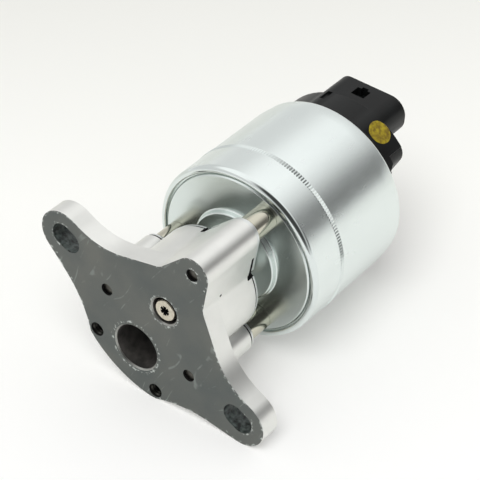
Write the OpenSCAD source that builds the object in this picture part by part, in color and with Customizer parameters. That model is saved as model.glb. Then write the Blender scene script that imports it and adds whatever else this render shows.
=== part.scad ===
// Linear solenoid exhaust gas recirculation valve.
// Origin on the valve axis at the mounting face, +Z up through the solenoid can,
// +Y from the gas port towards the front lobe.

/* [Mounting flange] */
// Thickness of the flange
flange_t = 7; // [6:0.5:9]
// Distance between the centres of the two bolt slots
slot_span = 77; // [76:0.5:79]
// Offset of the slots behind the valve axis
slot_back = 10.5; // [9.5:0.25:11.5]
// Width of a slot, for an M8 bolt
slot_w = 8.2; // [7.8:0.1:8.6]
// End to end length of a slot
slot_len = 11; // [10:0.25:12]
// Metal left round a slot
ear_wall = 4.5; // [4:0.25:5]
// Radius of the rear edge of the flange about the valve axis
rear_r = 37.9; // [37.5:0.1:38.5]
// Half width of the flange at the front corners
waist_x = 9.4; // [9:0.1:10]
// Distance of the front corners in front of the valve axis
waist_y = 13.6; // [13:0.1:14]
// Fillet in the front corners
waist_r = 5; // [3:0.5:6]
// Slope of the shoulder between front corner and ear
shoulder_angle = 40; // [38:1:42]
// Radius of the hollow above an ear
shoulder_r = 25; // [22:1:27]
// Slope of the edge below an ear
belly_angle = 20; // [19:0.5:21]
// Straight length below an ear
belly_len = 10.5; // [10:0.5:11]
// Radius of the hollow below an ear
belly_r = 43; // [42:0.5:46]
// Bore of the big gas port
port_d = 16.1; // [14:0.1:17]
// Distance of the gas port behind the valve axis
port_back = 23.3; // [22.5:0.1:24]
// Depth of the gas port
port_depth = 16; // [14:0.5:18]
// Bore of the small port in which the valve tip shows
mouth_d = 9.4; // [9:0.1:9.8]
// Edge chamfer of both ports
port_chamfer = 0.5; // [0.2:0.1:0.8]
// Core diameter of the two tapped holes, for M6
tap_d = 5; // [4.5:0.1:5.2]
// Distance between the tapped holes
tap_span = 26.8; // [26:0.2:28]
// Distance of the tapped holes' centres from the rear edge
tap_edge = 3.5; // [3.2:0.1:4]

/* [Casting tower] */
// Height of the casting above the mounting face
tower_h = 24.3; // [23:0.1:27]
// Radius of the round tower
tower_r = 18.3; // [18:0.1:18.8]
// Distance of the tower centre behind the valve axis
tower_back = 3.2; // [2.8:0.1:3.6]
// Radius of the three tie bosses
boss_r = 6; // [5.6:0.1:6.4]
// Half distance between the two rear tie screws
tie_x = 18.4; // [17.8:0.1:19]
// Distance of the two rear tie screws behind the valve axis
tie_back = 13.4; // [13:0.1:14]
// Distance of the front tie screw from the valve axis
tie_front = 22.2; // [21.8:0.1:22.6]
// Wall of the gas passage behind the port
passage_wall = 2.8; // [2:0.1:3.2]
// Metal over the gas port
passage_roof = 3; // [2.5:0.25:4]
// Rounding of the passage's upper edge
passage_round = 5; // [3:0.5:6]
// Bore of the cored passage between chamber and port
passage_d = 9.2; // [8:0.1:9.4]
// Radius of the valve chamber
chamber_r = 8; // [7.6:0.1:9]
// Metal below the valve seat
mouth_t = 3; // [2.5:0.1:4]
// Thickness of the roof over the valve chamber
roof_t = 6.8; // [6:0.1:8]
// Radius of the two notches in the tower's upper edge
notch_r = 1; // [0.8:0.1:1.2]
// Depth of those notches
notch_h = 2; // [1.2:0.1:2.4]
// Length of the wedge-shaped gap that runs up from a notch under the top plate
wedge_len = 7; // [4:0.5:8]
// Depth of that gap into the tower's flank
wedge_depth = 2.6; // [1.2:0.1:3]
// Radius of the punch mark in the lobe's flank
mark_r = 0.5; // [0.3:0.05:0.7]
// Height of the punch mark above the mounting face
mark_z = 8.6; // [8:0.1:12]

/* [Valve] */
// Outer radius of the seat ring and of the stem bush
bush_r = 7.2; // [6.8:0.1:7.4]
// Height of the seat ring
seat_h = 4; // [3.5:0.1:4.5]
// Radius of the seat throat
throat_r = 4.4; // [4.2:0.05:4.5]
// Radial gap between valve tip and throat
tip_gap = 0.5; // [0.4:0.05:0.7]
// How far the valve tip lies inside the mounting face
tip_recess = 1.2; // [0.8:0.1:1.6]
// Radius of the star recess in the valve tip
star_r = 1.65; // [1.2:0.05:1.8]
// Gap between the closed valve cone and its seat
seat_gap = 0.3; // [0.2:0.05:0.4]
// Radius of the valve cone's shoulder
cone_r = 5.7; // [5.5:0.1:6]
// Height of the valve cone's rim
cone_rim = 1.2; // [0.8:0.1:1.6]
// Height of the neck between cone and stem
neck_h = 2.8; // [2:0.1:3.4]
// Stem diameter
stem_d = 5; // [4.6:0.1:5.4]
// Running clearance of the sliding parts, on radius
run_gap = 0.04; // [0.02:0.01:0.06]
// Lift of the valve
stroke = 4; // [3:0.1:4.2]

/* [Clamp stack] */
// Thickness of the top plate
plate_t = 1; // [0.8:0.1:1.4]
// How far the top plate's round edge stands inside the tower
plate_inset = 0.3; // [0.1:0.1:0.6]
// How far the top plate reaches over the stem bush
bush_cover = 1.2; // [0.8:0.1:1.6]
// Radius of the washers under the standoffs
washer_r = 5; // [4.8:0.1:5.4]
// Thickness of the washers
washer_t = 0.9; // [0.7:0.1:1.2]
// Radius of the standoffs
standoff_r = 4.4; // [4:0.1:4.6]
// Height of the standoffs
standoff_h = 10.1; // [9:0.1:12]
// Diameter of the tie screws
screw_d = 4; // [3.6:0.1:4.2]
// Clearance of the tie screws in their holes, on radius
screw_gap = 0.15; // [0.1:0.05:0.2]
// How far the screw tips end inside the mounting face
screw_recess = 2; // [1:0.1:3]
// Radius of the screw heads
head_r = 3.5; // [3.2:0.1:3.8]
// Height of the screw heads
head_h = 2.4; // [2:0.1:2.6]

/* [Solenoid] */
// Diameter of the can
can_d = 61.5; // [61:0.1:62.5]
// Length of the can
can_len = 48.2; // [48:0.1:52]
// Wall of the can
can_wall = 1.2; // [1:0.1:1.4]
// Width of the turned-in edge at both ends of the can
can_lip = 2.2; // [2:0.1:2.4]
// Outer radius of the can's front edge
can_edge_r = 1.8; // [1.3:0.1:2]
// Length of the can's rear end that tapers towards the lip
can_taper = 6; // [4:0.5:10]
// Groove between the can's front lip and the pole plate
lip_gap = 0.6; // [0.4:0.1:0.8]
// Full thickness of the pole plate
pole_plate_t = 3.2; // [3:0.1:3.6]
// Room between the raised pad and the front standoff
pad_clear = 0.7; // [0.4:0.1:1.2]
// Height of the raised pad
pad_h = 2; // [1.6:0.1:2.4]
// Bevel of the pad's edge
pad_bevel = 1.1; // [0.8:0.1:1.4]
// Radius of the armature
armature_r = 9; // [8.6:0.1:9.4]
// Length of the armature
armature_len = 21; // [19:0.1:21.5]
// Height of the armature above the pole plate when the valve is closed
armature_lift = 4; // [3.5:0.1:5]
// Wall of the guide sleeve
sleeve_wall = 1.1; // [0.9:0.1:1.3]
// Bobbin hub wall
bobbin_wall = 1.5; // [1.2:0.1:1.8]
// Bobbin flange thickness
bobbin_flange_t = 2; // [1.6:0.1:2.4]
// Room between the bobbin flanges and the can
bobbin_room = 3; // [2:0.1:3.5]
// Depth of the winding below the bobbin flange's rim
winding_inset = 0.7; // [0.5:0.1:1.5]
// Thickness of the upper pole's disc
upper_disc_t = 3; // [2.6:0.1:3.4]
// Wire radius of the return spring
spring_wire = 0.5; // [0.4:0.05:0.6]
// Mean radius of the return spring
spring_r = 4.2; // [4.1:0.05:4.3]
// Turns of the return spring
spring_turns = 6; // [5:1:7]

/* [Connector cap] */
// Gap between the cap and the can's rear lip
cap_gap = 0.45; // [0.3:0.05:0.7]
// Width of the step between the cap's body and the can
cap_step_w = 0.7; // [0.5:0.1:1]
// Height of the cap's body above the can
cap_h = 12.9; // [12:0.1:14]
// Height of that step
cap_step_h = 2; // [1.5:0.1:2.5]
// Distance of the cap's flat side from the valve axis
cap_flat = 12.6; // [12:0.1:13.5]
// Rounding at both ends of the flat side
flat_round = 5; // [3:0.5:6]
// Chamfer of the cap's upper edge
cap_chamfer = 1; // [0.6:0.1:1.6]
// Height of the sloped foot of the flat side, above the can
shelf_h = 5; // [3:0.1:6]
// Width of that foot
shelf_w = 3; // [2:0.1:4]
// How far the low side stands above the can
low_side_h = 0.3; // [0.1:0.1:1]
// Height of the connector shroud above the can
shroud_h = 23.5; // [22:0.1:25]
// Length of the shroud
shroud_len = 26; // [25:0.1:26.5]
// Width of the shroud
shroud_w = 13.4; // [13:0.1:14]
// How far the shroud's outer face stands inside the cap's body
shroud_inset = 0.9; // [0.6:0.1:1.4]
// Offset of the shroud's middle along its length
shroud_shift = -1; // [-1.5:0.1:-0.5]
// Direction of the shroud's length
shroud_turn = -26.7; // [-30:0.1:-24]
// Wall of the shroud
shroud_wall = 1.6; // [1.4:0.1:1.8]
// Depth of the socket
socket_depth = 12; // [11:0.1:13]
// Pitch of the terminals
pin_pitch = 3.9; // [3.6:0.1:4]
// Width of a terminal
pin_w = 1.5; // [1.2:0.1:1.8]
// Thickness of a terminal
pin_t = 0.8; // [0.6:0.1:1]
// Height of a terminal above the socket floor
pin_h = 6.6; // [6:0.1:7.2]
// Width of the locking window
window_w = 5; // [4:0.1:5.4]
// Height of the locking window
window_h = 4.3; // [3:0.1:4.6]
// Offset of the locking window along the shroud
window_shift = 0.5; // [0:0.1:1]
// Width of the neck above the locking window
neck_w = 2.2; // [1.6:0.1:2.8]
// Height of that neck
window_neck = 1.1; // [0.6:0.1:1.4]
// Plastic left above the neck
window_top = 2.3; // [2:0.1:3]
// How far the pocket behind the window reaches into the socket
pocket_in = 1.5; // [1:0.1:1.8]
// Wall round that pocket
pocket_wall = 0.8; // [0.6:0.1:1]
// Radius of the slot between shroud and wall
relief_r = 0.9; // [0.6:0.1:1.2]
// Distance of that slot from the shroud's middle
relief_x = 8.4; // [8:0.1:9]
// Height of the slot's foot above the can
relief_z = 7; // [5:0.5:9]
// Length of that slot
relief_h = 5; // [3:0.5:6]
// Radius of the sensor cavity
cavity_r = 9; // [8.5:0.1:9.5]
// Diameter of the sensor plunger
plunger_d = 3.2; // [3:0.1:3.6]
// Depth of the plunger's seat in the armature
plunger_seat = 2.5; // [1.5:0.1:3.5]
// Height of the plunger's head above the upper pole
carrier_room = 3.4; // [2:0.1:4]

/* [Hidden] */
$fn = 96;

// Tolerance that lets a cut run past the face it opens
eps = 0.5;
arc_steps = 12;
hollow_steps = 16;
rear_steps = 14;

slot_x = slot_span / 2;
slot_off = (slot_len - slot_w) / 2;
ear_r = slot_w / 2 + ear_wall;
ear_top = ear_r - slot_back;
tap_x = tap_span / 2;
tap_back = sqrt(pow(rear_r - tap_edge, 2) - tap_x * tap_x);
passage_r = passage_d / 2;
lobe_angle = 17;
touch_step = -1.5;
touch_sink = 0.02;
lobe_last = [0, tie_front] + boss_r * [cos(lobe_angle), sin(lobe_angle)];
tower_corner = waist_on(lobe_last, [waist_x, waist_y], tower_r);
ties = [[0, tie_front], [tie_x, -tie_back], [-tie_x, -tie_back]];

seat_z = mouth_t;
seat_top = seat_z + seat_h;
passage_z = seat_top + passage_r + 0.8;
passage_h = port_depth + passage_roof;
roof_z = tower_h - roof_t;
plate_z = tower_h;
washer_z = plate_z + plate_t;
standoff_z = washer_z + washer_t;
pole_z = standoff_z + standoff_h;
rim_t = 1.2;
pole_back_z = pole_z + pole_plate_t;
can_r = can_d / 2;
can_in = can_r - can_wall;
stack_gap = 0.1;
press_gap = 0.02;
lip_in = can_r - can_lip;
plate_edge = lip_in - lip_gap;
pad_r = tie_front - standoff_r - pad_clear;
lip_t = rim_t + 0.1;
can_z = pole_z + rim_t - lip_t;
can_top_z = can_z + can_len;
cap_flange_t = 2.7;
cap_flange_top = can_top_z - can_wall;
upper_disc_z = cap_flange_top - cap_flange_t - upper_disc_t;
cap_z = upper_disc_z + upper_disc_t;

stem_r = stem_d / 2;
stem_room = 0.8;
shield_gap = 0.5;
tip_r = throat_r - tip_gap;
seat_cone_h = 1.5;
seat_cone_z = seat_top - seat_cone_h;
sleeve_in = armature_r + run_gap + press_gap;
sleeve_out = sleeve_in + sleeve_wall;
armature_z = pole_back_z + armature_lift;
armature_top = armature_z + armature_len;
shim_t = 0.3;
pole_nose_z = armature_top + shim_t + stroke + 0.2;
pocket_depth = 6;
spring_recess = 2;
spring_seat_z = upper_disc_z - spring_recess;
spring_bottom = armature_top - pocket_depth;
pocket_r = spring_r + spring_wire + 0.6;
nut_t = 2;
nut_r = spring_r - spring_wire - 0.3;
stem_top = armature_top - plunger_seat;
bobbin_in = sleeve_out + stack_gap;
bobbin_r = can_in - bobbin_room;
bobbin_z = pole_back_z + head_h + 0.7;
bobbin_top = upper_disc_z - stack_gap;
hub_r = bobbin_in + bobbin_wall;

plunger_r = plunger_d / 2;
carrier_z = cap_z + carrier_room;
carrier_t = 3;
carrier_r = 3.5;
cavity_h = 14.6;
cavity_top = cap_z + cavity_h;
plunger_wire = 0.25;
plunger_spring_r = carrier_r - 1.1;
wiper_root = 0.6;
wiper_w = 2.4;
wiper_t = 2;
wiper_gap = 0.1;
track_t = 1;
track_lift = 0.3;
track_room = 1.8;
track_x = cavity_r - track_room - track_t;
track_half = sqrt(pow(cavity_r - 0.12, 2) - pow(track_x + track_t, 2));

cap_step_r = lip_in - cap_gap;
cap_r = cap_step_r - cap_step_w;
cap_top = can_top_z + cap_h;
flat_end = sqrt(cap_r * cap_r - cap_flat * cap_flat) - 0.87 * flat_round;
seal_r = 0.95;
seal_room = 0.05;
shroud_face = cap_r - shroud_inset;
shroud_top = can_top_z + shroud_h;
socket_z = shroud_top - socket_depth;
shroud_x0 = shroud_shift - shroud_len / 2;
shroud_x1 = shroud_shift + shroud_len / 2;
shroud_y1 = shroud_face;
shroud_y0 = shroud_face - shroud_w;
shroud_mid = shroud_face - shroud_w / 2;
window_z = shroud_top - window_top - window_neck - window_h;
pocket_y = shroud_face - shroud_wall - pocket_in;
relief_y = sqrt(cap_r * cap_r - relief_x * relief_x) + relief_r / 4;
shroud_round_in = 6;
shroud_round_out = 4;
pin_root = 6;
lead_r = 0.6;
lead_room = 0.4;

// Points of an arc about c from angle a0 to a1
function arc(c, r, a0, a1, n) =
    [for (i = [0:n]) let (a = a0 + (a1 - a0) * i / n) c + r * [cos(a), sin(a)]];
// The list turned end for end and mirrored in x
function mirrored(list) = [for (i = [len(list) - 1:-1:0]) [-list[i][0], list[i][1]]];

// Where two circles meet: one about the origin with radius r, one about c with radius q
function meet(r, c, q, side) =
    let (d = norm(c), a = (r * r - q * q + d * d) / (2 * d), h = sqrt(max(0, r * r - a * a)))
    a * c / d + side * h * [-c[1], c[0]] / d;

// The front corner, moved along the lobe's flank until the shoulder touches the round tower
function waist_on(last, corner, touch) =
    let (n = [sin(shoulder_angle), cos(shoulder_angle)], flank = corner - last,
         rest = touch - (last + [0, tower_back]) * n)
    touch == 0 ? corner : last + flank * rest / (flank * n);

// Half outline of the front lobe, from its middle past the front corner, set in by inset
function lobe_half(inset, touch = 0) =
    let (last = [0, tie_front] + (boss_r - inset) * [cos(lobe_angle), sin(lobe_angle)],
         corner = waist_on(last, [waist_x - inset, waist_y], touch),
         flank = atan2(last[1] - corner[1], last[0] - corner[0]),
         bend = (flank - shoulder_angle) / 2,
         turn = 180 - flank - shoulder_angle,
         reach = waist_r / cos(turn / 2),
         c = corner + reach * [cos(bend), sin(bend)])
    concat(arc([0, tie_front], boss_r - inset, 90, lobe_angle, arc_steps),
           arc(c, waist_r, flank + 90, flank + 90 + turn, 4));

// Half outline of the flange, from the front lobe to the rear edge
shoulder_x = waist_x + (waist_y - ear_top) / tan(shoulder_angle);
shoulder_c = [shoulder_x + shoulder_r * tan(shoulder_angle / 2), ear_top + shoulder_r];
ear_c = [slot_x + slot_off, -slot_back];
belly_n = [sin(belly_angle), -cos(belly_angle)];
belly_start = ear_c + ear_r * belly_n - belly_len * [cos(belly_angle), sin(belly_angle)];
belly_c = belly_start + belly_r * belly_n;
rear_corner = meet(rear_r, belly_c, belly_r, -1);
rear_angle = atan2(rear_corner[1], rear_corner[0]);
belly_end = atan2(rear_corner[1] - belly_c[1], rear_corner[0] - belly_c[0]);
flange_half = concat(
    lobe_half(0),
    arc(shoulder_c, shoulder_r, 270 - shoulder_angle, 270, hollow_steps),
    arc(ear_c, ear_r, 90, belly_angle - 90, 2 * arc_steps),
    arc(belly_c, belly_r, 90 + belly_angle, belly_end, hollow_steps),
    arc([0, 0], rear_r, rear_angle, -90, rear_steps));

module at_ties() {
    for (p = ties) translate(p) children();
}

module slot2d() {
    square([2 * slot_off, slot_w], center = true);
    for (s = [-1, 1]) translate([s * slot_off, 0]) circle(d = slot_w);
}

module flange2d() {
    polygon(concat(flange_half, mirrored(flange_half)));
}

module lobe(h, inset = 0) {
    touch = tower_r - inset;
    along = shoulder_angle + touch_step;
    contact = (touch - touch_sink) * [sin(along), cos(along)] - [0, tower_back];
    half = concat(lobe_half(inset, touch), [contact]);
    linear_extrude(h) polygon(concat(half, [[waist_x, 0], [-waist_x, 0]], mirrored(half)));
}

module tower(h, inset = 0) {
    translate([0, -tower_back]) cylinder(h = h, r = tower_r - inset);
    for (s = [-1, 1]) translate([s * tie_x, -tie_back]) cylinder(h = h, r = boss_r - inset);
}

// Small cuts where the front strap leaves the round edge
module notches(h) {
    for (s = [-1, 1]) translate([s * tower_corner[0], tower_corner[1]])
        cylinder(h = h, r = notch_r);
}

// Punch mark in the lobe's flank
module punch_mark() {
    spot = [waist_x, waist_y] + 0.1 * (lobe_last - [waist_x, waist_y]);
    translate([-spot[0], spot[1], mark_z]) sphere(mark_r, $fn = 24);
}

// Gaps that open from the notches along the lobe's flanks, below the top plate
module wedges() {
    flank = atan2(lobe_last[1] - waist_y, lobe_last[0] - waist_x);
    for (m = [0, 1]) mirror([m, 0, 0])
        translate([tower_corner[0], tower_corner[1], tower_h]) rotate(flank)
        translate([0, wedge_depth, 0]) rotate([90, 0, 0]) linear_extrude(2 * wedge_depth)
            polygon([[0, -notch_h], [wedge_len, 0], [wedge_len, eps], [0, eps]]);
}

module base_casting() color("gainsboro") difference() {
    union() {
        linear_extrude(flange_t) flange2d();
        lobe(tower_h);
        tower(tower_h);
        passage_housing();
    }
    for (s = [-1, 1]) translate([s * slot_x, -slot_back, -eps])
        linear_extrude(flange_t + 2 * eps) slot2d();
    for (s = [-1, 1]) translate([s * tap_x, -tap_back, -eps])
        cylinder(h = flange_t + 2 * eps, d = tap_d);
    at_ties() translate([0, 0, -eps]) cylinder(h = tower_h + 2 * eps, r = screw_d / 2 + screw_gap);
    translate([0, -port_back, -eps]) cylinder(h = port_depth + eps, d = port_d);
    translate([0, -port_back, 0]) port_bevel(port_d / 2);
    translate([0, 0, -eps]) cylinder(h = mouth_t + 2 * eps, d = mouth_d);
    port_bevel(mouth_d / 2);
    translate([0, 0, seat_z]) cylinder(h = seat_h, r = bush_r);
    translate([0, 0, seat_top - 0.01]) cylinder(h = roof_z - seat_top + 0.01, r = chamber_r);
    translate([0, 0, roof_z - 0.01]) cylinder(h = roof_t + eps, r = bush_r);
    translate([0, 0, passage_z]) rotate([90, 0, 0]) cylinder(h = port_back, r = passage_r);
    translate([0, 0, tower_h - notch_h]) notches(notch_h + eps);
    wedges();
    punch_mark();
}

// Round-shouldered boss over the gas port
module passage_housing() {
    r = port_d / 2 + passage_wall;
    shoulder = [r - passage_round, passage_h - passage_round];
    translate([0, -port_back]) rotate_extrude() polygon(concat(
        [[0, 0], [r, 0]], arc(shoulder, passage_round, 0, 90, 6), [[0, passage_h]]));
}

module port_bevel(r) {
    translate([0, 0, -0.01])
        cylinder(h = port_chamfer, r1 = r + port_chamfer, r2 = r);
}

module valve_seat() color("dimgray")
    rotate_extrude() polygon([
        [throat_r, seat_z], [bush_r, seat_z], [bush_r, seat_top],
        [throat_r + seat_cone_h, seat_top], [throat_r, seat_cone_z]]);

module torx2d(r) {
    for (a = [0:60:120]) rotate(a) square([2 * r, 0.75 * r], center = true);
    circle(0.72 * r);
}

module pintle() color("silver") {
    cone_z = seat_cone_z - (tip_gap - seat_gap * sqrt(2));
    shoulder_z = cone_z + cone_r - tip_r;
    difference() {
        rotate_extrude() polygon([
            [0, tip_recess], [tip_r - 0.4, tip_recess], [tip_r, tip_recess + 0.4], [tip_r, cone_z],
            [cone_r, shoulder_z], [cone_r, shoulder_z + cone_rim],
            [stem_r, shoulder_z + cone_rim + neck_h],
            [stem_r, stem_top], [0, stem_top]]);
        translate([0, 0, tip_recess - eps]) linear_extrude(star_r + eps) torx2d(star_r);
    }
}

module stem_bush() color("darkgoldenrod") difference() {
    translate([0, 0, roof_z]) cylinder(h = roof_t, r = bush_r);
    translate([0, 0, roof_z - eps]) cylinder(h = roof_t + 2 * eps, r = stem_r + run_gap);
}

// Drawn cup over the bush that keeps soot out of the solenoid
module stem_shield() color("lightgray") {
    cup_r = bush_r + 1.8;
    cup_h = 5.2;
    wall = 0.6;
    bend = 2;
    inner = bend + 0.42 * wall;
    translate([0, 0, plate_z + plate_t]) rotate_extrude() polygon([
        [stem_r + shield_gap, cup_h - wall], [stem_r + shield_gap, cup_h],
        [cup_r - bend, cup_h], [cup_r, cup_h - bend],
        [cup_r, wall], [cup_r + bend, wall], [cup_r + bend, 0], [cup_r - wall, 0],
        [cup_r - wall, cup_h - inner], [cup_r - inner, cup_h - wall]]);
}

module top_plate() color("whitesmoke") translate([0, 0, plate_z]) difference() {
    union() {
        tower(plate_t, plate_inset);
        lobe(plate_t, plate_inset);
    }
    translate([0, 0, -eps]) cylinder(h = plate_t + 2 * eps, r = bush_r - bush_cover);
    at_ties() translate([0, 0, -eps]) cylinder(h = plate_t + 2 * eps, r = screw_d / 2 + screw_gap);
    translate([0, 0, -eps]) notches(plate_t + 2 * eps);
}

module standoff_washers() color("lightgray") at_ties() translate([0, 0, washer_z]) difference() {
    cylinder(h = washer_t, r = washer_r);
    translate([0, 0, -eps]) cylinder(h = washer_t + 2 * eps, r = screw_d / 2 + screw_gap);
}

module standoffs() color("silver") at_ties() translate([0, 0, standoff_z]) difference() {
    cylinder(h = standoff_h, r = standoff_r);
    translate([0, 0, -eps]) cylinder(h = standoff_h + 2 * eps, r = screw_d / 2 + screw_gap);
}

module tie_screws() color("gray") at_ties() difference() {
    union() {
        translate([0, 0, screw_recess]) cylinder(h = pole_back_z - screw_recess + 0.1, d = screw_d);
        translate([0, 0, pole_back_z]) cylinder(h = head_h, r = head_r);
    }
    translate([0, 0, pole_back_z + 1]) linear_extrude(head_h) torx2d(1.3);
}

module pole_plate() color("lightsteelblue") difference() {
    rotate_extrude() polygon([
        [0, pole_z - pad_h], [pad_r - pad_bevel, pole_z - pad_h], [pad_r, pole_z - pad_h + pad_bevel],
        [pad_r, pole_z], [plate_edge - 0.5, pole_z], [plate_edge, pole_z + 0.5],
        [plate_edge, pole_z + rim_t], [can_in - stack_gap, pole_z + rim_t],
        [can_in - stack_gap, pole_back_z], [0, pole_back_z]]);
    translate([0, 0, pole_z - pad_h - eps])
        cylinder(h = pad_h + pole_plate_t + 2 * eps, r = stem_r + stem_room);
    at_ties() translate([0, 0, pole_z - eps])
        cylinder(h = pole_plate_t + 2 * eps, r = screw_d / 2 + screw_gap);
}

module can_shell() color("azure") {
    rear_edge_r = 1.2;
    rear_inset = 0.5;
    rotate_extrude() polygon(concat(
        [[lip_in, can_z + lip_t], [lip_in, can_z + 0.3], [lip_in + 0.3, can_z]],
        arc([can_r - can_edge_r, can_z + can_edge_r], can_edge_r, 270, 360, 6),
        [[can_r, can_top_z - can_taper], [can_r - rear_inset, can_top_z - rear_edge_r]],
        arc([can_r - rear_inset - rear_edge_r, can_top_z - rear_edge_r], rear_edge_r, 0, 90, 5),
        [[lip_in, can_top_z], [lip_in, cap_flange_top], [can_in, cap_flange_top],
         [can_in, can_z + lip_t]]));
}

module guide_sleeve() color("goldenrod") rotate_extrude()
    translate([sleeve_in, pole_back_z]) square([sleeve_wall, pole_nose_z - pole_back_z]);

module bobbin() color("ivory") difference() {
    rotate_extrude() polygon([
        [bobbin_in, bobbin_z], [bobbin_r, bobbin_z], [bobbin_r, bobbin_z + bobbin_flange_t],
        [hub_r, bobbin_z + bobbin_flange_t], [hub_r, bobbin_top - bobbin_flange_t],
        [bobbin_r, bobbin_top - bobbin_flange_t], [bobbin_r, bobbin_top], [bobbin_in, bobbin_top]]);
    leads_at() translate([0, 0, bobbin_top - bobbin_flange_t - eps])
        cylinder(h = bobbin_flange_t + 2 * eps, r = lead_r + stack_gap);
}

module coil_winding() color("sienna") rotate_extrude()
    translate([hub_r + 0.05, bobbin_z + bobbin_flange_t + 0.05])
        square([bobbin_r - winding_inset - hub_r, bobbin_top - bobbin_z - 2 * bobbin_flange_t - 0.1]);

module armature() color("slategray") difference() {
    translate([0, 0, armature_z]) cylinder(h = armature_len, r = armature_r);
    translate([0, 0, armature_z - eps]) cylinder(h = armature_len + 2 * eps, r = stem_r + press_gap);
    translate([0, 0, spring_bottom]) cylinder(h = pocket_depth + eps, r = pocket_r);
}

module armature_nut() color("gray") translate([0, 0, spring_bottom]) difference() {
    cylinder(h = nut_t, r = nut_r, $fn = 6);
    translate([0, 0, -eps]) cylinder(h = nut_t + 2 * eps, r = stem_r + press_gap);
}

module gap_shim() color("gold") translate([0, 0, armature_top]) difference() {
    cylinder(h = shim_t, r = armature_r - 0.3);
    translate([0, 0, -eps]) cylinder(h = shim_t + 2 * eps, r = pocket_r);
}

module upper_pole() color("lightslategray") difference() {
    union() {
        translate([0, 0, pole_nose_z]) cylinder(h = upper_disc_z - pole_nose_z + 0.1, r = sleeve_out);
        translate([0, 0, upper_disc_z]) cylinder(h = upper_disc_t, r = can_in - stack_gap);
    }
    translate([0, 0, pole_nose_z - eps]) cylinder(h = spring_seat_z - pole_nose_z + eps, r = pocket_r);
    translate([0, 0, spring_seat_z - eps])
        cylinder(h = cap_z - spring_seat_z + 2 * eps, r = plunger_r + run_gap);
    leads_at() translate([0, 0, upper_disc_z - eps])
        cylinder(h = upper_disc_t + 2 * eps, r = lead_r + lead_room);
}

// Round wire of radius w swept along a helix of radius r from z0 to z1
module coil_spring(r, w, z0, z1, turns, sides, steps) {
    n = turns * steps;
    zb = z0 + w + 0.05;
    rise = z1 - z0 - 2 * w - 0.1;
    pts = [for (i = [0:n], k = [0:sides - 1])
        let (a = 360 * i / steps, b = 360 * k / sides, q = r + w * cos(b))
        [q * cos(a), q * sin(a), zb + rise * i / n + w * sin(b)]];
    side_faces = [for (i = [0:n - 1], k = [0:sides - 1])
        let (j = (k + 1) % sides)
        [i * sides + k, i * sides + j, (i + 1) * sides + j, (i + 1) * sides + k]];
    start = [[for (k = [sides - 1:-1:0]) k]];
    end = [[for (k = [0:sides - 1]) n * sides + k]];
    polyhedron(concat(pts), concat(side_faces, start, end));
}

module return_spring() color("silver")
    coil_spring(spring_r, spring_wire, spring_bottom, spring_seat_z, spring_turns, 8, 18);

module plunger_spring() color("silver")
    coil_spring(plunger_spring_r, plunger_wire, carrier_z + carrier_t, cavity_top, 5, 6, 14);

// The two terminals at the ends of the row are fed by the coil
module leads_at() {
    rotate(shroud_turn) for (s = [-2, 2])
        translate([shroud_shift + s * pin_pitch, shroud_mid]) children();
}

module coil_leads() color("peru") leads_at()
    translate([0, 0, bobbin_top - bobbin_flange_t]) cylinder(
        h = socket_z - pin_root - bobbin_top + bobbin_flange_t, r = lead_r);

module sensor_plunger() color("darkslategray") difference() {
    union() {
        translate([0, 0, stem_top]) cylinder(h = carrier_z - stem_top + 0.1, r = plunger_r);
        translate([0, 0, carrier_z]) cylinder(h = carrier_t, r = carrier_r);
    }
    wiper_at() cube([carrier_r, wiper_w, wiper_t]);
}

// The wiper sits in a slot in the side of the plunger's head
module wiper_at() {
    translate([carrier_r - wiper_root, -wiper_w / 2, carrier_z + (carrier_t - wiper_t) / 2]) children();
}

module wiper() color("gold") wiper_at()
    cube([track_x - wiper_gap - carrier_r + wiper_root, wiper_w, wiper_t]);

module sensor_track() color("seagreen")
    translate([track_x, -track_half, cap_z + track_lift])
        cube([track_t, 2 * track_half, cavity_h - 3 * track_lift]);

module cap_seal() color("black") translate([0, 0, cap_z + cap_flange_t / 2]) rotate_extrude()
    translate([can_in - stack_gap - seal_r, 0]) circle(r = seal_r, $fn = 32);

// Rectangle with its corners rounded by r0 on the low side and r1 on the high side
module shroud2d(grow) {
    x0 = shroud_x0 + grow;
    x1 = shroud_x1 - grow;
    y0 = shroud_y0 + grow;
    y1 = shroud_y1 - grow;
    ra = shroud_round_in - grow;
    rb = shroud_round_out - grow;
    polygon(concat(
        arc([x1 - rb, y1 - rb], rb, 0, 90, 8), arc([x0 + ra, y1 - ra], ra, 90, 180, 10),
        arc([x0 + ra, y0 + ra], ra, 180, 270, 10), arc([x1 - rb, y0 + rb], rb, 270, 360, 8)));
}

// Window with a narrower neck on its upper side
module window2d() {
    polygon([[-window_w / 2, 0], [window_w / 2, 0], [window_w / 2, window_h],
             [neck_w / 2, window_h], [neck_w / 2, window_h + window_neck],
             [-neck_w / 2, window_h + window_neck], [-neck_w / 2, window_h],
             [-window_w / 2, window_h]]);
}

// The side of the cap beside the flat, with rounded ends
module low_side2d() {
    far = cap_step_r + 1;
    corner = concat(arc([flat_round - cap_flat, flat_end], flat_round, 180, 120, 5),
                    [[flat_round / 2 - cap_flat, far]]);
    corner_far = [for (i = [len(corner) - 1:-1:0]) [corner[i][0], -corner[i][1]]];
    polygon(concat([[-far, -far]], corner_far, corner, [[-far, far]]));
}

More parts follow.
